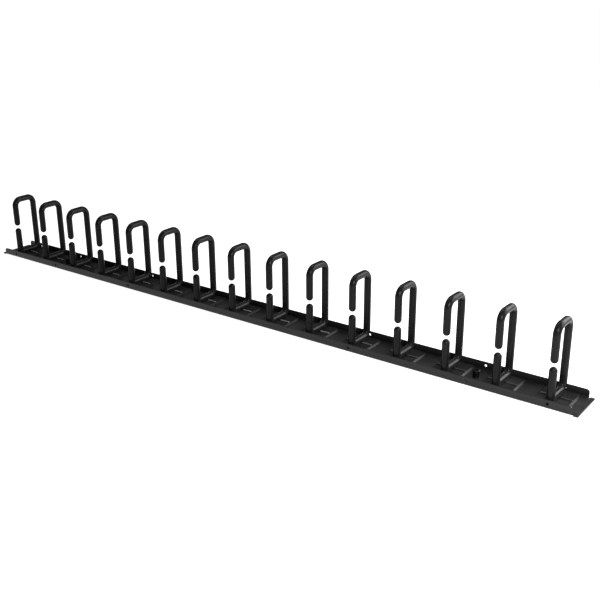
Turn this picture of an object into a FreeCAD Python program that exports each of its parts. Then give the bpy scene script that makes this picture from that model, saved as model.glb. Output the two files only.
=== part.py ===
# Vertical cable manager: a folded steel tray that carries a row of split ring hooks.
# X runs along the tray, Y from the front flange to the back one, Z up from the tray's underside.
import FreeCAD, Part
import math
import os
import Sketcher

doc = FreeCAD.newDocument("cable_manager")

# Driving sizes in millimetres
SIZES = [
    ("tray_length", 914.4, "floor of the tray, end to end"),
    ("tray_width", 49.0, "outside of the flanges"),
    ("sheet_thickness", 1.5, "steel sheet"),
    ("flange_height", 9.8, "top of a flange above the underside"),
    ("bend_radius", 1.0, "inside of the folds"),
    ("flange_setback", 6.5, "from the end of the floor to the end of a flange"),
    ("relief_width", 1.2, "slot between a flange end and the end tab"),
    ("flange_corner", 3.0, "rounding of a flange's upper corners"),
    ("tab_corner", 1.5, "rounding of the floor's corners"),
    ("tie_hole_diameter", 3.2, "small holes in the flanges"),
    ("tie_hole_height", 5.5, "their axis above the underside"),
    ("hook_count", 15, "hooks along the tray"),
    ("end_margin", 32.9, "from an end of the tray to the middle of the hook beside it"),
    ("hook_height", 90.2, "top of the ring above the hook's own underside"),
    ("ring_depth", 32.2, "between the axes of the ring's two arms"),
    ("bar_diameter", 8.6, "round bar of the ring"),
    ("ring_corner", 9.5, "bend of the bar's axis at the ring's upper corners"),
    ("foot_bend", 8.0, "bend of the bar's axis at the foot of the back arm"),
    ("bar_sink", 0.5, "how far the bar along the base sinks into the base plate"),
    ("leg_extra", 0.2, "lower front arm thicker than the bar"),
    ("split_height", 44.5, "middle of the split above the hook's underside"),
    ("split_gap", 4.0, "between the two rounded tips"),
    ("base_length", 39.4, "base plate along the tray"),
    ("base_thickness", 2.4, "base plate"),
    ("base_clearance", 0.2, "between the base plate and the folds"),
    ("base_corner", 3.0, "rounding of the base plate's corners"),
    ("base_edge", 1.8, "bevel of the base plate's upper edge"),
    ("rib_diameter", 2.4, "half-round rib across the base plate, under the middle of the ring"),
    ("rib_end", 3.2, "from the middle of the rib's rounded end to the end of the base plate"),
    ("screw_diameter", 3.0, "shank of a hook screw"),
    ("screw_offset", 9.5, "hook screws from the tray's middle line"),
    ("screw_length", 8.0, "hook screw over all"),
    ("screw_tip", 2.0, "cone at its end"),
    ("screw_head", 5.6, "countersunk head, ninety degrees"),
    ("screw_sink", 0.1, "head below the tray's underside"),
    ("screw_clearance", 0.1, "round the shank in the sheet"),
    ("pilot_spare", 1.0, "free depth of the pilot hole past the screw"),
    ("bush_diameter", 8.0, "body of a mounting bush"),
    ("bush_height", 8.0, "its body above the floor"),
    ("bush_spigot", 7.0, "the part that fills its hole in the floor"),
    ("bush_bore", 5.0, "bore for the mounting screw"),
    ("bush_chamfer", 0.5, "bevel of its upper edge"),
]

# From hook to hook, and the places of the flange holes and of the bushes, counted in such steps
# from the middle of the tray; eleven steps from bush to bush come to fifteen rack units
PITCH = "( tray_length - 2 * end_margin ) / ( hook_count - 1 )"
TIE_HOLES = ("-7", "-5.5", "-3", "3", "5.5", "7")
BUSHES = {"left": "-5.5", "right": "5.5"}

sheet = doc.addObject("Spreadsheet::Sheet", "sizes")
for row, (alias, value, meaning) in enumerate(SIZES, start=1):
    sheet.set(f"A{row}", alias)
    sheet.set(f"B{row}", str(value))
    sheet.set(f"C{row}", meaning)
    sheet.setAlias(f"B{row}", alias)
doc.recompute()


def size(alias):
    return float(sheet.get(alias))


def bind(thing, path, text):
    # Every word in the text that names a size reads that cell of the sheet.
    words = text.replace("(", " ( ").replace(")", " ) ").split()
    thing.setExpression(path, " ".join(f"sizes.{w}" if w[0].isalpha() else w for w in words))


def datum(body, role):
    return next(f for f in body.Origin.OriginFeatures if f.Role == role)


def near(a, b):
    return abs(a - b) < 1e-4


# Sketches
def new_sketch(body, name, role, height=None):
    sketch = body.newObject("Sketcher::SketchObject", name)
    sketch.AttachmentSupport = [(datum(body, role), "")]
    sketch.MapMode = "FlatFace"
    if height:
        bind(sketch, "AttachmentOffset.Base.z", height)
    return sketch


def measure(sketch, name, text, drawn, kind, *where):
    index = sketch.addConstraint(Sketcher.Constraint(kind, *where, drawn))
    sketch.renameConstraint(index, name)
    bind(sketch, f"Constraints.{name}", text)


def hold(sketch, name, line, end, x=None, y=None):
    # Holds a point at bound distances from the origin; a leading minus puts it on the far side.
    point = sketch.getPoint(line, end)
    for axis, text, drawn, on_axis in (("X", x, point.x, -2), ("Y", y, point.y, -1)):
        if text == "0":
            sketch.addConstraint(Sketcher.Constraint("PointOnObject", line, end, on_axis))
        elif text and text.startswith("-"):
            measure(sketch, f"{name}_{axis}", text[1:], -drawn, f"Distance{axis}", line, end, -1, 1)
        elif text:
            measure(sketch, f"{name}_{axis}", text, drawn, f"Distance{axis}", -1, 1, line, end)


def closed_lines(sketch, corners):
    points = [FreeCAD.Vector(x, y, 0) for x, y in corners]
    following = points[1:] + points[:1]
    lines = [sketch.addGeometry(Part.LineSegment(a, b)) for a, b in zip(points, following)]
    for line, after in zip(lines, lines[1:] + lines[:1]):
        sketch.addConstraint(Sketcher.Constraint("Coincident", line, 2, after, 1))
    return lines


def side_of(text):
    return 0 if text == "0" else -1 if text.startswith("-") else 1


def rectangle(sketch, name, left, right, bottom, top):
    x1, x2 = side_of(left) * 2, side_of(right) * 2
    y1, y2 = side_of(bottom) * 2, side_of(top) * 2
    if x1 == x2:
        x1, x2 = x1 - 1, x2 + 1
    if y1 == y2:
        y1, y2 = y1 - 1, y2 + 1
    sides = closed_lines(sketch, [(x1, y1), (x2, y1), (x2, y2), (x1, y2)])
    for number, line in enumerate(sides):
        sketch.addConstraint(Sketcher.Constraint("Vertical" if number % 2 else "Horizontal", line))
    hold(sketch, f"{name}_low", sides[0], 1, left, bottom)
    hold(sketch, f"{name}_high", sides[2], 1, right, top)


def circle(sketch, name, x, y, diameter):
    middle = FreeCAD.Vector(side_of(x), side_of(y), 0)
    index = sketch.addGeometry(Part.Circle(middle, FreeCAD.Vector(0, 0, 1), 1))
    hold(sketch, name, index, 3, x, y)
    measure(sketch, f"{name}_diameter", diameter, 2.0, "Diameter", index)


def half_section(sketch, corners):
    # A closed outline right of the upright axis, each corner with its drawn place and bound texts.
    lines = closed_lines(sketch, [(x, y) for x, y, _, _ in corners])
    for number, (line, corner) in enumerate(zip(lines, corners), start=1):
        hold(sketch, f"corner_{number}", line, 1, corner[2], corner[3])


def ring_axis(sketch, tip, tip_drawn):
    # From the upper tip over the top, down the back and forward along the base to the front arm.
    half = size("ring_depth") / 2
    top = size("hook_height") - size("bar_diameter") / 2
    low = size("base_thickness") - size("bar_sink") + size("bar_diameter") / 2
    corner = size("ring_corner")
    foot = size("foot_bend")
    lines = []
    for a, b in (((-half, tip_drawn), (-half, top - corner)),
                 ((corner - half, top), (half - corner, top)),
                 ((half, top - corner), (half, low + foot)),
                 ((half - foot, low), (-half, low))):
        lines.append(sketch.addGeometry(Part.LineSegment(FreeCAD.Vector(*a, 0), FreeCAD.Vector(*b, 0))))
    for number, line in enumerate(lines):
        sketch.addConstraint(Sketcher.Constraint("Horizontal" if number % 2 else "Vertical", line))
    bends = (("ring_corner", corner - half, top - corner, 1),
             ("ring_corner", half - corner, top - corner, 0),
             ("foot_bend", half - foot, low + foot, 3))
    for number, (radius, x, y, quarter) in enumerate(bends):
        ring = Part.Circle(FreeCAD.Vector(x, y, 0), FreeCAD.Vector(0, 0, 1), size(radius))
        turn = math.pi / 2
        arc = sketch.addGeometry(Part.ArcOfCircle(ring, quarter * turn, (quarter + 1) * turn))
        sketch.addConstraint(Sketcher.Constraint("Tangent", lines[number], 2, arc, 2))
        sketch.addConstraint(Sketcher.Constraint("Tangent", arc, 1, lines[number + 1], 1))
        measure(sketch, f"bend_{number + 1}", radius, size(radius), "Radius", arc)
    hold(sketch, "tip", lines[0], 1, "-ring_depth / 2", tip)
    hold(sketch, "top", lines[1], 1, None, "hook_height - bar_diameter / 2")
    hold(sketch, "back", lines[2], 1, "ring_depth / 2")
    hold(sketch, "front", lines[3], 2, "-ring_depth / 2", "base_thickness - bar_sink + bar_diameter / 2")


# Features
def pad(body, name, sketch, length, both_ways=False):
    feature = body.newObject("PartDesign::Pad", name)
    feature.Profile = sketch
    feature.Midplane = both_ways
    bind(feature, "Length", length)
    doc.recompute()


def pocket(body, name, sketch, length, both_ways=False, upward=False):
    feature = body.newObject("PartDesign::Pocket", name)
    feature.Profile = sketch
    feature.Midplane = both_ways
    feature.Reversed = upward
    bind(feature, "Length", length)
    doc.recompute()


def pipe(body, name, profile, path):
    feature = body.newObject("PartDesign::AdditivePipe", name)
    feature.Profile = profile
    feature.Spine = path
    doc.recompute()


def revolve(body, name, sketch):
    feature = body.newObject("PartDesign::Revolution", name)
    feature.Profile = sketch
    feature.ReferenceAxis = (sketch, ["V_Axis"])
    feature.Angle = 360
    doc.recompute()


def ease_edges(body, name, amount, wanted, bevel=False):
    # Rounds or bevels the edges whose two ends and middle pass the test.
    base = body.Tip
    chosen = []
    for number, edge in enumerate(base.Shape.Edges, start=1):
        ends = [vertex.Point for vertex in edge.Vertexes]
        if len(ends) == 2 and wanted(ends[0], ends[1], edge.CenterOfMass):
            chosen.append(f"Edge{number}")
    feature = body.newObject("PartDesign::Chamfer" if bevel else "PartDesign::Fillet", name)
    feature.Base = (base, chosen)
    bind(feature, "Size" if bevel else "Radius", amount)
    doc.recompute()


def ball(body, name, diameter, x, y, z, low=-90, high=90):
    # A whole ball, or the half of it above or below its middle.
    feature = body.newObject("PartDesign::AdditiveSphere", name)
    feature.AttachmentSupport = [(datum(body, "XY_Plane"), "")]
    feature.MapMode = "FlatFace"
    feature.Angle1 = low
    feature.Angle2 = high
    bind(feature, "Radius", f"{diameter} / 2")
    for axis, place in (("x", x), ("y", y), ("z", z)):
        bind(feature, f"AttachmentOffset.Base.{axis}", place)
    doc.recompute()


def along_tray(body, name, feature):
    # One of the feature for every hook.
    pattern = body.newObject("PartDesign::LinearPattern", name)
    pattern.Originals = [feature]
    pattern.Direction = (datum(body, "X_Axis"), [""])
    bind(pattern, "Length", "tray_length - 2 * end_margin")
    bind(pattern, "Occurrences", "hook_count")
    body.Tip = pattern
    doc.recompute()


# Tray: floor and two flanges folded from one sheet
def make_tray():
    body = doc.addObject("PartDesign::Body", "tray")
    half = size("tray_width") / 2
    thick = size("sheet_thickness")
    flange_end = size("tray_length") / 2 - size("flange_setback")

    outside = new_sketch(body, "channel_outside", "YZ_Plane")
    rectangle(outside, "outside", "-tray_width / 2", "tray_width / 2", "0", "flange_height")
    pad(body, "channel", outside, "tray_length - 2 * flange_setback", both_ways=True)
    inside = new_sketch(body, "channel_inside", "YZ_Plane")
    rectangle(inside, "inside", "-( tray_width / 2 - sheet_thickness )", "tray_width / 2 - sheet_thickness",
              "sheet_thickness", "flange_height + sheet_thickness")
    pocket(body, "channel_space", inside, "tray_length", both_ways=True)

    def fold(y, z):
        return lambda a, b, m: near(a.y, b.y) and near(a.z, b.z) and near(abs(m.y), y) and near(m.z, z)

    ease_edges(body, "inner_folds", "bend_radius", fold(half - thick, thick))
    ease_edges(body, "outer_folds", "bend_radius + sheet_thickness", fold(half, 0))
    ease_edges(body, "flange_corners", "flange_corner",
               lambda a, b, m: near(a.x, b.x) and near(abs(m.x), flange_end)
               and near(a.z, b.z) and near(m.z, size("flange_height")))

    floor = new_sketch(body, "floor_between_folds", "XY_Plane")
    flat = "( tray_width / 2 - bend_radius - sheet_thickness )"
    rectangle(floor, "floor", "-tray_length / 2", "tray_length / 2", f"-{flat}", flat)
    pad(body, "floor", floor, "sheet_thickness")
    tabs = new_sketch(body, "end_tabs", "XY_Plane")
    tab_start = "( tray_length / 2 - flange_setback + relief_width )"
    rectangle(tabs, "right", tab_start, "tray_length / 2", "-tray_width / 2", "tray_width / 2")
    rectangle(tabs, "left", "-tray_length / 2", f"-{tab_start}", "-tray_width / 2", "tray_width / 2")
    pad(body, "tabs", tabs, "sheet_thickness")
    ease_edges(body, "tab_corners", "tab_corner",
               lambda a, b, m: near(a.x, b.x) and near(a.y, b.y)
               and near(abs(m.x), size("tray_length") / 2) and near(abs(m.y), half))

    ties = new_sketch(body, "tie_hole_places", "XZ_Plane")
    for number, step in enumerate(TIE_HOLES, start=1):
        circle(ties, f"tie_{number}", f"{step} * {PITCH}", "tie_hole_height", "tie_hole_diameter")
    pocket(body, "tie_holes", ties, "2 * tray_width", both_ways=True)
    seats = new_sketch(body, "bush_seat_places", "XY_Plane")
    for side, step in BUSHES.items():
        circle(seats, f"{side}_seat", f"{step} * {PITCH}", "0", "bush_spigot")
    pocket(body, "bush_seats", seats, "sheet_thickness", upward=True)

    places = new_sketch(body, "screw_places", "XY_Plane")
    first = "-( tray_length / 2 - end_margin )"
    circle(places, "front_screw", first, "-screw_offset", "screw_diameter")
    circle(places, "back_screw", first, "screw_offset", "screw_diameter")
    sinks = body.newObject("PartDesign::Hole", "countersinks")
    sinks.Profile = places
    sinks.Reversed = True
    sinks.ThreadType = "None"
    sinks.DepthType = "ThroughAll"
    sinks.HoleCutType = "Countersink"
    sinks.HoleCutCountersinkAngle = 90
    bind(sinks, "Diameter", "screw_diameter + 2 * screw_clearance")
    bind(sinks, "HoleCutDiameter", "screw_head + 2 * screw_sink")
    doc.recompute()
    along_tray(body, "countersink_rows", sinks)
    return body


# Hook: base plate with a cross rib, a bar bent into an open ring that lies along the plate, and the
# straight lower front arm that meets the bar's end, in one moulding
def make_hook():
    body = doc.addObject("PartDesign::Body", "hook_form")

    plate = new_sketch(body, "base_outline", "XY_Plane")
    depth = "( tray_width / 2 - sheet_thickness - bend_radius - base_clearance )"
    rectangle(plate, "base", "-base_length / 2", "base_length / 2", f"-{depth}", depth)
    pad(body, "base", plate, "base_thickness")
    ease_edges(body, "base_corners", "base_corner",
               lambda a, b, m: near(a.x, b.x) and near(a.y, b.y))
    ease_edges(body, "base_edges", "base_edge",
               lambda a, b, m: near(a.z, b.z) and near(m.z, size("base_thickness")), bevel=True)

    rib = new_sketch(body, "rib_section", "YZ_Plane")
    circle(rib, "rib", "0", "base_thickness", "rib_diameter")
    pad(body, "rib", rib, "base_length - 2 * rib_end", both_ways=True)
    ball(body, "rib_left_end", "rib_diameter", "rib_end - base_length / 2", "0", "base_thickness")
    ball(body, "rib_right_end", "rib_diameter", "base_length / 2 - rib_end", "0", "base_thickness")

    leg_diameter = "( bar_diameter + leg_extra )"
    upper_tip = "split_height + split_gap / 2 + bar_diameter / 2"
    lower_tip = f"split_height - split_gap / 2 - {leg_diameter} / 2"
    leg = new_sketch(body, "leg_section", "XY_Plane")
    circle(leg, "leg", "0", "-ring_depth / 2", leg_diameter)
    pad(body, "leg", leg, lower_tip)
    section = new_sketch(body, "ring_section", "XY_Plane", upper_tip)
    circle(section, "bar", "0", "-ring_depth / 2", "bar_diameter")
    path = new_sketch(body, "ring_path", "YZ_Plane")
    ring_axis(path, upper_tip, size("split_height") + size("split_gap") / 2 + size("bar_diameter") / 2)
    pipe(body, "ring", section, path)
    ball(body, "upper_tip", "bar_diameter", "0", "0 - ring_depth / 2", upper_tip, high=0)
    ball(body, "lower_tip", leg_diameter, "0", "0 - ring_depth / 2", lower_tip, low=0)

    pilots = new_sketch(body, "pilot_places", "XY_Plane")
    circle(pilots, "front_pilot", "0", "-screw_offset", "screw_diameter")
    circle(pilots, "back_pilot", "0", "screw_offset", "screw_diameter")
    pocket(body, "pilots", pilots, "screw_length + screw_sink - sheet_thickness + pilot_spare", upward=True)
    return body


def make_hooks(form):
    hooks = []
    for number in range(1, int(size("hook_count")) + 1):
        hook = doc.addObject("App::Link", f"hook_{number:02d}")
        hook.LinkedObject = form
        bind(hook, "Placement.Base.x", f"( {number} - ( hook_count + 1 ) / 2 ) * {PITCH}")
        bind(hook, "Placement.Base.z", "sheet_thickness")
        hooks.append(hook)
    doc.recompute()
    return hooks


# Hook screws: countersunk, driven from behind through the base plate into the bar that lies on it
def make_screws(name, side):
    body = doc.addObject("PartDesign::Body", name)
    bind(body, "Placement.Base.x", "end_margin - tray_length / 2")
    bind(body, "Placement.Base.y", f"{side} * screw_offset")
    section = new_sketch(body, f"{name}_section", "XZ_Plane")
    half_section(section, [
        (0, 0.1, "0", "screw_sink"),
        (2.8, 0.1, "screw_head / 2", "screw_sink"),
        (1.5, 1.4, "screw_diameter / 2", "screw_sink + screw_head / 2 - screw_diameter / 2"),
        (1.5, 6.1, "screw_diameter / 2", "screw_sink + screw_length - screw_tip"),
        (0, 8.1, "0", "screw_sink + screw_length"),
    ])
    revolve(body, f"{name}_screw", section)
    along_tray(body, f"{name}_row", body.Tip)
    return body


# Mounting bush: clinched into the floor, flush with its underside
def make_bush(name, step):
    body = doc.addObject("PartDesign::Body", name)
    bind(body, "Placement.Base.x", f"{step} * {PITCH}")
    section = new_sketch(body, f"{name}_section", "XZ_Plane")
    half_section(section, [
        (2.5, 0, "bush_bore / 2", "0"),
        (3.5, 0, "bush_spigot / 2", "0"),
        (3.5, 1.5, "bush_spigot / 2", "sheet_thickness"),
        (4, 1.5, "bush_diameter / 2", "sheet_thickness"),
        (4, 9, "bush_diameter / 2", "sheet_thickness + bush_height - bush_chamfer"),
        (3.5, 9.5, "bush_diameter / 2 - bush_chamfer", "sheet_thickness + bush_height"),
        (2.5, 9.5, "bush_bore / 2", "sheet_thickness + bush_height"),
    ])
    revolve(body, f"{name}_turned", section)
    return body


pieces = [make_tray()]
pieces += make_hooks(make_hook())
pieces += [make_screws("hook_screws_front", -1), make_screws("hook_screws_back", 1)]
pieces += [make_bush(f"mount_bush_{side}", step) for side, step in BUSHES.items()]
doc.recompute()

for thing in doc.Objects:
    if "Invalid" in thing.State or "Error" in thing.State:
        raise RuntimeError(f"{thing.Label} did not build: {thing.State}")

os.makedirs("parts", exist_ok=True)
for piece in pieces:
    shape = Part.getShape(piece)
    if shape.isNull() or not shape.isValid() or not shape.Solids:
        raise RuntimeError(f"{piece.Label} has no sound solid")
    shape.exportStep(f"parts/{piece.Label}.step")
    print(piece.Label, len(shape.Solids), round(shape.Volume, 1))
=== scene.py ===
import math

import bpy
from mathutils import Matrix, Vector


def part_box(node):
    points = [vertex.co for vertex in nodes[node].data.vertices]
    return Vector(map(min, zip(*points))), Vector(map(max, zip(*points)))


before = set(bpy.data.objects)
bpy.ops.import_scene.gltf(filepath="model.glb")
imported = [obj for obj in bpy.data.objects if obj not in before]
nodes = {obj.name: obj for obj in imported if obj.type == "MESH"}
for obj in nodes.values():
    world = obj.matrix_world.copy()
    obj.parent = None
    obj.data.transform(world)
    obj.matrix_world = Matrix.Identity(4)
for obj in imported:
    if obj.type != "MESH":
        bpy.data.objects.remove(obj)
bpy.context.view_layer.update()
scene = bpy.context.scene
scene.view_settings.view_transform = "Standard"
hookNames = sorted(name for name in nodes if name.startswith("hook_") and name[-1].isdigit())
print("frame loaded:", len(nodes), "nodes,", len(hookNames), "hooks")


# node helpers

floatKind = "NodeSocketFloat"
gridStep = (190, -170)  # spacing of the nodes in the editor


def addNode(tree, kind, spot, inputs=None, **settings):
    node = tree.nodes.new(kind)
    node.location = (spot[0] * gridStep[0], spot[1] * gridStep[1])
    for key, value in settings.items():
        setattr(node, key, value)
    for key, value in (inputs or {}).items():
        if isinstance(value, bpy.types.NodeSocket):
            tree.links.new(value, node.inputs[key])
        else:
            node.inputs[key].default_value = value
    return node


def maths(tree, spot, operation, first, second=0.0, third=0.0, clamp=False):
    return addNode(tree, "ShaderNodeMath", spot, {0: first, 1: second, 2: third},
                   operation=operation, use_clamp=clamp).outputs[0]


def ramp(tree, spot, value, limits, results=(0.0, 1.0)):
    return addNode(tree, "ShaderNodeMapRange", spot,
                   {"Value": value, "From Min": limits[0], "From Max": limits[1],
                    "To Min": results[0], "To Max": results[1]},
                   interpolation_type="SMOOTHSTEP").outputs["Result"]


# a mask that rises over one pair of limits and falls again over the other
def between(tree, spot, value, rise, fall):
    up = ramp(tree, spot, value, rise)
    down = ramp(tree, (spot[0], spot[1] + 1), value, fall)
    return maths(tree, (spot[0] + 1, spot[1]), "MULTIPLY", up, down)


def mixColour(tree, spot, factor, first, second):
    return addNode(tree, "ShaderNodeMix", spot, {0: factor, 6: first, 7: second},
                   data_type="RGBA").outputs[2]


def noise(tree, spot, vector, scale, detail, rough):
    return addNode(tree, "ShaderNodeTexNoise", spot,
                   {"Vector": vector, "Scale": scale, "Detail": detail, "Roughness": rough}).outputs["Fac"]


def objectPlace(tree, spot):
    return addNode(tree, "ShaderNodeTexCoord", spot).outputs["Object"]


def splitAxes(tree, spot, vector):
    return addNode(tree, "ShaderNodeSeparateXYZ", spot, {0: vector}).outputs


def newGroup(name, inputs, outputs):
    tree = bpy.data.node_groups.new(name, "ShaderNodeTree")
    for label, value in inputs:
        socket = tree.interface.new_socket(name=label, in_out="INPUT", socket_type=floatKind)
        socket.default_value = value
    for label, kind in outputs:
        tree.interface.new_socket(name=label, in_out="OUTPUT", socket_type=kind)
    enter = addNode(tree, "NodeGroupInput", (0, 0))
    leave = addNode(tree, "NodeGroupOutput", (9, 0))
    return tree, enter.outputs, leave.inputs


def useGroup(tree, group, spot, inputs):
    return addNode(tree, "ShaderNodeGroup", spot, inputs, node_tree=group).outputs


def newMaterial(name):
    material = bpy.data.materials.new(name)
    material.use_nodes = True
    tree = material.node_tree
    tree.nodes.clear()
    leave = addNode(tree, "ShaderNodeOutputMaterial", (12, 0))
    return material, tree, leave


def finishSkin(tree, leave, inputs):
    skin = addNode(tree, "ShaderNodeBsdfPrincipled", (10, 0), inputs)
    tree.links.new(skin.outputs[0], leave.inputs["Surface"])


def addBump(tree, strength, depth, height, normal):
    return addNode(tree, "ShaderNodeBump", (8, 4),
                   {"Strength": strength, "Distance": depth, "Height": height, "Normal": normal}).outputs[0]


# grain: fine relief, wide mottle and scattered specks; each noise is given as detail and roughness

grainShape = {
    "coarse": (2.0, 0.55),
    "finer": (1.0, 0.5),
    "finerStep": 2.7,
    "finerShare": 0.35,
    "mottle": (4.0, 0.6),
    "mottleLimits": (0.3, 0.7),
    "dots": (0.0, 0.0),
    "dotStep": 0.5,
    "dotLimits": (0.7, 0.78),
}


def makeFineGrain(look):
    tree, given, out = newGroup("fineGrain",
        [("Cell", 0.0006), ("Mottle Cell", 0.02), ("Seed", 0.0)],
        [("Height", floatKind), ("Mottle", floatKind), ("Speck", floatKind)])
    seed = given["Seed"]
    shift = addNode(tree, "ShaderNodeCombineXYZ", (1, 3), {0: seed, 1: seed, 2: seed}).outputs[0]
    moved = addNode(tree, "ShaderNodeVectorMath", (2, 2), {0: objectPlace(tree, (0, 2)), 1: shift},
                    operation="ADD").outputs[0]
    fine = maths(tree, (2, 0), "DIVIDE", 1.0, given["Cell"])
    wide = maths(tree, (2, 1), "DIVIDE", 1.0, given["Mottle Cell"])
    coarse = noise(tree, (4, 0), moved, fine, *look["coarse"])
    finerScale = maths(tree, (3, 1), "MULTIPLY", fine, look["finerStep"])
    finer = noise(tree, (4, 1), moved, finerScale, *look["finer"])
    cloud = noise(tree, (4, 2), moved, wide, *look["mottle"])
    dotScale = maths(tree, (3, 3), "MULTIPLY", fine, look["dotStep"])
    dots = noise(tree, (4, 3), moved, dotScale, *look["dots"])
    tree.links.new(maths(tree, (6, 0), "MULTIPLY_ADD", finer, look["finerShare"], coarse), out["Height"])
    tree.links.new(ramp(tree, (6, 1), cloud, look["mottleLimits"]), out["Mottle"])
    tree.links.new(ramp(tree, (6, 3), dots, look["dotLimits"]), out["Speck"])
    return tree


# edge rub: softened edges, worn in patches where the softened normal turns away from the flat one

rubShape = {
    "samples": 6,
    "turnLimits": (0.02, 0.22),
    "patch": (3.0, 0.65),
    "patchLimits": (0.42, 0.62),
}


def makeEdgeRub(look):
    tree, given, out = newGroup("edgeRub",
        [("Radius", 0.0004), ("Patch Cell", 0.006)],
        [("Rub", floatKind), ("Normal", "NodeSocketVector")])
    soft = addNode(tree, "ShaderNodeBevel", (2, 0), {"Radius": given["Radius"]},
                   samples=look["samples"]).outputs["Normal"]
    flat = addNode(tree, "ShaderNodeNewGeometry", (2, 1)).outputs["Normal"]
    same = addNode(tree, "ShaderNodeVectorMath", (3, 1), {0: soft, 1: flat},
                   operation="DOT_PRODUCT").outputs["Value"]
    turned = ramp(tree, (4, 1), maths(tree, (4, 2), "SUBTRACT", 1.0, same), look["turnLimits"])
    scale = maths(tree, (3, 3), "DIVIDE", 1.0, given["Patch Cell"])
    patch = noise(tree, (4, 3), objectPlace(tree, (2, 3)), scale, *look["patch"])
    worn = ramp(tree, (5, 3), patch, look["patchLimits"])
    tree.links.new(maths(tree, (6, 1), "MULTIPLY", turned, worn), out["Rub"])
    tree.links.new(soft, out["Normal"])
    return tree


# settled dust: a cloudy film on faces that look up

dustShape = {
    "faceLimits": (0.55, 1.0),
    "cloud": (6.0, 0.7),
    "cloudLimits": (0.38, 0.72),
}


def makeSettledDust(look):
    tree, given, out = newGroup("settledDust", [("Cell", 0.03), ("Amount", 0.3)], [("Dust", floatKind)])
    normal = addNode(tree, "ShaderNodeNewGeometry", (2, 0)).outputs["Normal"]
    up = ramp(tree, (4, 0), splitAxes(tree, (3, 0), normal)["Z"], look["faceLimits"])
    scale = maths(tree, (3, 2), "DIVIDE", 1.0, given["Cell"])
    cloud = noise(tree, (4, 2), objectPlace(tree, (2, 2)), scale, *look["cloud"])
    film = maths(tree, (6, 0), "MULTIPLY", up, ramp(tree, (5, 2), cloud, look["cloudLimits"]))
    tree.links.new(maths(tree, (7, 0), "MULTIPLY", film, given["Amount"]), out["Dust"])
    return tree


fineGrain = makeFineGrain(grainShape)
edgeRub = makeEdgeRub(rubShape)
settledDust = makeSettledDust(dustShape)
print("shared effects made")


# hooks: black satin plastic with a fine mould grain, a faint mould line and a painted highlight on the rib's
# crest
# lengths are in metres, and heights are over the back of the tray

hookLook = {
    "base": (0.0060, 0.0060, 0.0061, 1),
    "pale": (0.0092, 0.0092, 0.0094, 1),
    "rubbed": (0.030, 0.030, 0.031, 1),
    "rubShare": 0.3,
    "rubCell": 0.004,
    "edgeRadius": 0.0005,
    "dust": (0.13, 0.125, 0.12, 1),
    "dustAmount": 0.07,
    "dustCell": 0.02,
    "dustRough": 0.3,
    "grainCell": 0.00055,
    "mottleCell": 0.016,
    "grainDepth": 0.00003,
    "bumpStrength": 0.6,
    "roughLow": 0.21,
    "roughHigh": 0.29,
    "plateRough": 0.13,
    "plateTop": (0.0058, 0.0050),  # heights between which the plate's finish starts
    "specular": 0.085,
    "ior": 1.5,
    "lineLimits": (0.00022, 0.000066),  # distances from the mould line's middle
    "lineDepth": 0.00007,
    "lineFrom": (0.0135, 0.0145),  # heights between which the mould line starts
    # colour of the painted highlight on the rib's crest
    "crestHighlight": (0.19, 0.19, 0.192, 1),
    "crestHighlightShare": 0.9,
    "crestSides": (0.0012, 0.0008),  # distances from the rib's middle
    "crestClear": (0.0044, 0.0050),  # distances from the ring's plane, past the bar
    "crestFrom": (0.0042, 0.0045),  # heights on the rib
    "crestTurn": (-0.001, 0.001),  # change from a hook's left side to its right
    "crestHighlightRight": 0.35,  # painted highlight kept on the right side of the last hooks
    "crestRightFrom": (0.12, 0.26),  # places along the row
    "crestHighlightLast": 0.40,  # painted highlight kept on both sides of the last hooks
    "crestLastFrom": (0.12, 0.30),
}


def hookRow():
    first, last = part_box(hookNames[0]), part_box(hookNames[-1])
    start = (first[0].x + first[1].x) / 2
    pitch = ((last[0].x + last[1].x) / 2 - start) / (len(hookNames) - 1)
    return start, pitch


# a painted highlight along the crest of the rib across the base plate, weakest at the right end of the row
def ribCrestHighlight(tree, look, place, along, away, pitch):
    across = ramp(tree, (3, 8), maths(tree, (2, 8), "ABSOLUTE", place["Y"]), look["crestSides"])
    clear = ramp(tree, (3, 9), away, look["crestClear"])
    low = maths(tree, (4, 9), "MULTIPLY", ramp(tree, (3, 10), place["Z"], look["crestFrom"]), clear)
    aside = maths(tree, (3, 11), "WRAP", along, pitch / 2, -pitch / 2)
    right = ramp(tree, (4, 11), aside, look["crestTurn"])
    dimmedRight = maths(tree, (5, 11), "MULTIPLY", right, ramp(tree, (4, 12), place["X"], look["crestRightFrom"]))
    side = ramp(tree, (6, 11), dimmedRight, (0.0, 1.0), (1.0, look["crestHighlightRight"]))
    last = ramp(tree, (5, 12), place["X"], look["crestLastFrom"], (1.0, look["crestHighlightLast"]))
    # the painted highlight is made weaker on the right side of the last hooks and on both sides at the row's
    # end
    worn = maths(tree, (7, 11), "MULTIPLY", side, last)
    return maths(tree, (6, 8), "MULTIPLY", maths(tree, (5, 8), "MULTIPLY", across, low), worn)


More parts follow.
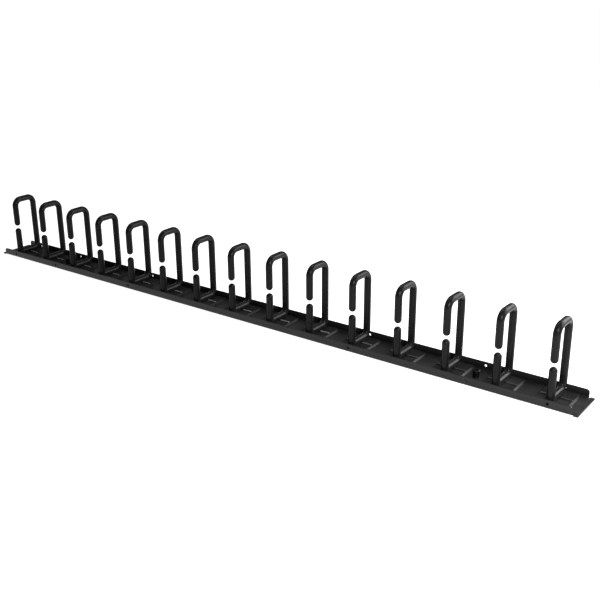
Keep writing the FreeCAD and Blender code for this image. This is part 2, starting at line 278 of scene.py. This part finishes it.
def makeHookPlastic(look):
    material, tree, leave = newMaterial("hookPlastic")
    grain = useGroup(tree, fineGrain, (1, 0), {"Cell": look["grainCell"], "Mottle Cell": look["mottleCell"]})
    rub = useGroup(tree, edgeRub, (1, 2), {"Radius": look["edgeRadius"], "Patch Cell": look["rubCell"]})
    dust = useGroup(tree, settledDust, (1, 4), {"Cell": look["dustCell"], "Amount": look["dustAmount"]})
    # the mould halves meet in the ring's own plane, one plane for every hook along the row
    start, pitch = hookRow()
    place = splitAxes(tree, (2, 6), objectPlace(tree, (1, 6)))
    along = maths(tree, (2, 7), "SUBTRACT", place["X"], start)
    away = maths(tree, (3, 6), "PINGPONG", along, pitch / 2)
    line = ramp(tree, (4, 6), away, look["lineLimits"])
    seam = maths(tree, (5, 6), "MULTIPLY", line, ramp(tree, (4, 7), place["Z"], look["lineFrom"]))
    crestHighlight = ribCrestHighlight(tree, look, place, along, away, pitch)
    colour = mixColour(tree, (4, 0), grain["Mottle"], look["base"], look["pale"])
    rubbed = maths(tree, (4, 1), "MULTIPLY", rub["Rub"], look["rubShare"])
    colour = mixColour(tree, (5, 0), rubbed, colour, look["rubbed"])
    # the rib's crest is painted paler as a painted highlight
    paintedHighlight = maths(tree, (5, 9), "MULTIPLY", crestHighlight, look["crestHighlightShare"])
    colour = mixColour(tree, (6, 1), paintedHighlight, colour, look["crestHighlight"])
    colour = mixColour(tree, (7, 0), dust["Dust"], colour, look["dust"])
    rough = ramp(tree, (5, 2), grain["Mottle"], (0.0, 1.0), (look["roughHigh"], look["roughLow"]))
    # the mould is polished for the ring and coarser for the base plate
    plate = ramp(tree, (5, 3), place["Z"], look["plateTop"])
    rough = maths(tree, (6, 3), "MULTIPLY_ADD", plate, look["plateRough"], rough)
    rough = maths(tree, (7, 2), "MULTIPLY_ADD", dust["Dust"], look["dustRough"], rough, clamp=True)
    lineShare = look["lineDepth"] / look["grainDepth"]
    relief = maths(tree, (6, 5), "MULTIPLY_ADD", seam, lineShare, grain["Height"])
    bump = addBump(tree, look["bumpStrength"], look["grainDepth"], relief, rub["Normal"])
    finishSkin(tree, leave, {"Base Color": colour, "Roughness": rough, "Normal": bump,
                             "Specular IOR Level": look["specular"], "IOR": look["ior"]})
    return material


# tray: folded sheet steel under a black powder coat

trayLook = {
    "base": (0.0065, 0.0065, 0.0067, 1),
    "pale": (0.0100, 0.0100, 0.0103, 1),
    "rubbed": (0.070, 0.069, 0.068, 1),
    "rubShare": 0.15,
    "rubCell": 0.009,
    "edgeRadius": 0.0006,
    "dust": (0.14, 0.135, 0.13, 1),
    "dustAmount": 0.10,
    "dustCell": 0.05,
    "dustRough": 0.3,
    "peelCell": 0.0011,
    "mottleCell": 0.045,
    "seed": 3.7,
    "peelDepth": 0.00005,
    "bumpStrength": 0.5,
    "roughLow": 0.26,
    "roughHigh": 0.35,
    "speckRough": 0.10,
    "specular": 0.25,
    "ior": 1.5,
    # near-black painted shade for the flanges' cut ends and punched holes
    "cutShade": (0.003, 0.003, 0.003, 1),
    "cutRough": 0.55,
    "cutStart": (0.00004, 0.0001),  # depths under the flange's outside
    "cutEnd": (0.00146, 0.0014),
    "cutLow": (0.0026, 0.0028),  # heights on the flange
    "cutHigh": (0.0092, 0.0090),
    # lighter grey painted light for the flanges' inside faces
    "flangeLight": (0.018, 0.018, 0.0184, 1),
    "thinStart": (0.00145, 0.00149),  # depths under the flange's outside
    "thinEnd": (0.0021, 0.0016),
    "thinRise": (0.0020, 0.0090),  # heights on the flange
}


def makeTrayCoat(look):
    material, tree, leave = newMaterial("trayCoat")
    grain = useGroup(tree, fineGrain, (1, 0),
                     {"Cell": look["peelCell"], "Mottle Cell": look["mottleCell"], "Seed": look["seed"]})
    rub = useGroup(tree, edgeRub, (1, 2), {"Radius": look["edgeRadius"], "Patch Cell": look["rubCell"]})
    dust = useGroup(tree, settledDust, (1, 4), {"Cell": look["dustCell"], "Amount": look["dustAmount"]})
    colour = mixColour(tree, (4, 0), grain["Mottle"], look["base"], look["pale"])
    rubbed = maths(tree, (4, 1), "MULTIPLY", rub["Rub"], look["rubShare"])
    colour = mixColour(tree, (5, 0), rubbed, colour, look["rubbed"])
    colour = mixColour(tree, (6, 0), dust["Dust"], colour, look["dust"])
    # painted shade: the flanges' cut ends and their punched holes are painted near black, and made rougher
    place = splitAxes(tree, (2, 6), objectPlace(tree, (1, 6)))
    depth = maths(tree, (3, 6), "SUBTRACT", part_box("tray")[1].y, maths(tree, (2, 7), "ABSOLUTE", place["Y"]))
    inside = between(tree, (4, 6), depth, look["cutStart"], look["cutEnd"])
    height = between(tree, (4, 8), place["Z"], look["cutLow"], look["cutHigh"])
    cutShade = maths(tree, (6, 7), "MULTIPLY", inside, height)
    colour = mixColour(tree, (7, 6), cutShade, colour, look["cutShade"])
    # painted light: the inside faces of the flanges are painted a lighter grey towards the top
    wall = between(tree, (4, 10), depth, look["thinStart"], look["thinEnd"])
    flangeLight = maths(tree, (6, 10), "MULTIPLY", wall, ramp(tree, (5, 11), place["Z"], look["thinRise"]))
    colour = mixColour(tree, (8, 6), flangeLight, colour, look["flangeLight"])
    rough = ramp(tree, (5, 2), grain["Mottle"], (0.0, 1.0), (look["roughHigh"], look["roughLow"]))
    rough = maths(tree, (6, 2), "MULTIPLY_ADD", grain["Speck"], look["speckRough"], rough)
    rough = maths(tree, (6, 3), "MULTIPLY_ADD", cutShade, look["cutRough"], rough)
    rough = maths(tree, (7, 2), "MULTIPLY_ADD", dust["Dust"], look["dustRough"], rough, clamp=True)
    bump = addBump(tree, look["bumpStrength"], look["peelDepth"], grain["Height"], rub["Normal"])
    finishSkin(tree, leave, {"Base Color": colour, "Roughness": rough, "Normal": bump,
                             "Specular IOR Level": look["specular"], "IOR": look["ior"]})
    return material


# screws and bushes: plated steel, bright on the screws and blackened on the bushes

screwLook = {
    "dark": (0.30, 0.30, 0.31, 1),
    "bright": (0.44, 0.44, 0.45, 1),
    "worn": (0.62, 0.61, 0.60, 1),
    "roughLow": 0.28,
    "roughHigh": 0.42,
}
bushLook = {
    "dark": (0.020, 0.020, 0.021, 1),
    "bright": (0.036, 0.036, 0.037, 1),
    "worn": (0.10, 0.099, 0.097, 1),
    "roughLow": 0.40,
    "roughHigh": 0.50,
}
platingShape = {
    "turnCell": 0.0003,
    "turnDepth": 0.00002,
    "mottleCell": 0.004,
    "seed": 8.1,
    "edgeRadius": 0.00025,
    "rubCell": 0.002,
    "bumpStrength": 0.4,
}


def makePlatedSteel(name, look, shape):
    material, tree, leave = newMaterial(name)
    grain = useGroup(tree, fineGrain, (1, 0),
                     {"Cell": shape["turnCell"], "Mottle Cell": shape["mottleCell"], "Seed": shape["seed"]})
    rub = useGroup(tree, edgeRub, (1, 2), {"Radius": shape["edgeRadius"], "Patch Cell": shape["rubCell"]})
    colour = mixColour(tree, (4, 0), grain["Mottle"], look["dark"], look["bright"])
    colour = mixColour(tree, (5, 0), rub["Rub"], colour, look["worn"])
    rough = ramp(tree, (5, 2), grain["Mottle"], (0.0, 1.0), (look["roughHigh"], look["roughLow"]))
    bump = addBump(tree, shape["bumpStrength"], shape["turnDepth"], grain["Height"], rub["Normal"])
    finishSkin(tree, leave, {"Base Color": colour, "Roughness": rough, "Normal": bump, "Metallic": 1.0})
    return material


def dress(names, material):
    for name in names:
        nodes[name].data.materials.clear()
        nodes[name].data.materials.append(material)


dress(hookNames, makeHookPlastic(hookLook))
dress(["tray"], makeTrayCoat(trayLook))
dress(["hook_screws_front", "hook_screws_back"], makePlatedSteel("screwZinc", screwLook, platingShape))
dress(["mount_bush_left", "mount_bush_right"], makePlatedSteel("bushZinc", bushLook, platingShape))
print("materials on")


# studio: white table, a softbox behind the right end, a fill in front of it and a panel overhead

white = (1, 1, 1, 1)
studio = {
    "floorSize": 24.0,
    "floorDrop": 0.0002,
    "floorColour": (0.60, 0.60, 0.60, 1),
    "floorGlow": 0.905,
    "ambient": 0.18,
    "key": {"at": (0.74, 0.50, 0.42), "to": (0.38, 0.0, 0.03), "size": (0.76, 0.60), "power": 12.0},
    "fill": {"at": (0.68, -0.36, 0.38), "to": (0.46, -0.08, 0.0), "size": (0.26, 0.20), "power": 4.5},
    "top": {"at": (-0.12, 0.22, 0.90), "to": (-0.08, 0.0, 0.0), "size": (0.75, 0.26), "power": 3.0},
}


# rays for which the floor glows white; other rays only meet the paper
def seenRays(tree, spot):
    path = addNode(tree, "ShaderNodeLightPath", spot).outputs
    seen = maths(tree, (spot[0] + 1, spot[1]), "MAXIMUM", path["Is Camera Ray"], path["Is Glossy Ray"])
    return maths(tree, (spot[0] + 2, spot[1]), "MAXIMUM", seen, path["Is Transmission Ray"])


def makeFloor(look):
    half, drop = look["floorSize"] / 2, -look["floorDrop"]
    mesh = bpy.data.meshes.new("floor")
    corners = [(-half, -half, drop), (half, -half, drop), (half, half, drop), (-half, half, drop)]
    mesh.from_pydata(corners, [], [(0, 1, 2, 3)])
    floor = bpy.data.objects.new("floor", mesh)
    scene.collection.objects.link(floor)
    material, tree, leave = newMaterial("floorPaper")
    strength = maths(tree, (5, 3), "MULTIPLY", seenRays(tree, (2, 2)), look["floorGlow"])
    paper = addNode(tree, "ShaderNodeBsdfDiffuse", (5, 0), {"Color": look["floorColour"]}).outputs[0]
    glow = addNode(tree, "ShaderNodeEmission", (5, 2), {"Color": white, "Strength": strength}).outputs[0]
    lit = addNode(tree, "ShaderNodeAddShader", (7, 0), {0: paper, 1: glow}).outputs[0]
    # seen from below the floor is clear, so the back of the tray shows
    under = addNode(tree, "ShaderNodeNewGeometry", (7, 2)).outputs["Backfacing"]
    clear = addNode(tree, "ShaderNodeBsdfTransparent", (7, 3)).outputs[0]
    both = addNode(tree, "ShaderNodeMixShader", (9, 0), {0: under, 1: lit, 2: clear}).outputs[0]
    tree.links.new(both, leave.inputs["Surface"])
    mesh.materials.append(material)


def makeWorld(look):
    world = bpy.data.worlds.new("studioAir")
    world.use_nodes = True
    tree = world.node_tree
    tree.nodes.clear()
    air = addNode(tree, "ShaderNodeBackground", (0, 0),
                  {"Color": white, "Strength": look["ambient"]}).outputs[0]
    leave = addNode(tree, "ShaderNodeOutputWorld", (2, 0))
    tree.links.new(air, leave.inputs["Surface"])
    scene.world = world


def makeLamp(name, look):
    lamp = bpy.data.lights.new(name, "AREA")
    lamp.shape = "RECTANGLE"
    lamp.size, lamp.size_y = look["size"]
    lamp.energy = look["power"]
    holder = bpy.data.objects.new(name, lamp)
    scene.collection.objects.link(holder)
    at, to = Vector(look["at"]), Vector(look["to"])
    holder.location = at
    holder.rotation_mode = "QUATERNION"
    holder.rotation_quaternion = (to - at).to_track_quat("-Z", "Y")
    holder.visible_camera = False


makeFloor(studio)
makeWorld(studio)
for name in ("key", "fill", "top"):
    makeLamp(name, studio[name])
print("studio made")


# camera: stands to the right of the row's middle, looking down along it

shot = {
    "azimuth": 36.562,
    "elevation": 21.036,
    "roll": -0.430,
    "lens": 55.449,
    "sensor": 36.0,
    "clip": (0.01, 100.0),
    "at": (0.72185, -0.84511, 0.44244),
}


def makeCamera(look):
    camera = bpy.data.cameras.new("camera")
    camera.sensor_width = look["sensor"]
    camera.sensor_fit = "HORIZONTAL"
    camera.lens = look["lens"]
    camera.clip_start, camera.clip_end = look["clip"]
    holder = bpy.data.objects.new("camera", camera)
    scene.collection.objects.link(holder)
    turn = Matrix.Rotation(math.radians(look["azimuth"]), 4, "Z")
    tilt = Matrix.Rotation(math.radians(90 - look["elevation"]), 4, "X")
    lean = Matrix.Rotation(math.radians(look["roll"]), 4, "Z")
    holder.matrix_world = Matrix.Translation(look["at"]) @ turn @ tilt @ lean
    scene.camera = holder


makeCamera(shot)
print("camera set")
